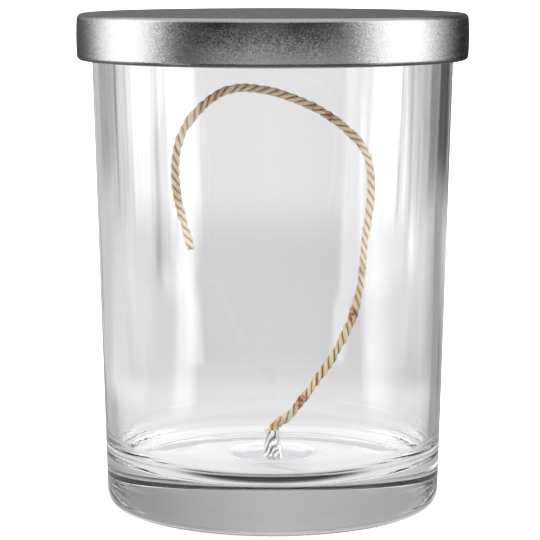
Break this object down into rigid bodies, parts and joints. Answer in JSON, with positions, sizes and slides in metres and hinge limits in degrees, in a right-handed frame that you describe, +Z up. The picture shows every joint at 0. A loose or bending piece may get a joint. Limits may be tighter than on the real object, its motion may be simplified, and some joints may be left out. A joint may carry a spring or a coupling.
{
  "type": "empty candle jar",
  "caption": "Clear heavy-based glass candle jar with a lift-off satin metal lid, a soft sealing ring, and a long curved cotton wick crimped in a metal tab on its floor.",
  "frame": {"origin": "centre of the foot the jar stands on", "axes": "+Z up along the jar's axis, out through the lid; the wick's curve lies mostly in the XZ plane"},
  "size_m": [0.087, 0.087, 0.11],
  "materials": {
    "clear_glass": "fire polished, clear",
    "satin_steel": "satin, fine bead-blasted grain",
    "clear_silicone": "soft, translucent",
    "sticker_foam": "matte foam",
    "tin_plate": "bright tin plate",
    "waxed_cotton": "twisted cotton, lightly waxed"
  },
  "bodies": {
    "jar": {"glass_jar": "clear_glass", "adhesive_dot": "sticker_foam", "wick_sustainer": "tin_plate", "wick": "waxed_cotton"},
    "lid": {"lid_shell": "satin_steel", "lid_gasket": "clear_silicone"}
  },
  "joints": [
    {"name": "lid_lift", "type": "slide", "parent": "jar", "child": "lid", "axis": [0, 0, 1], "range_m": [0, 0.04]}
  ]
}
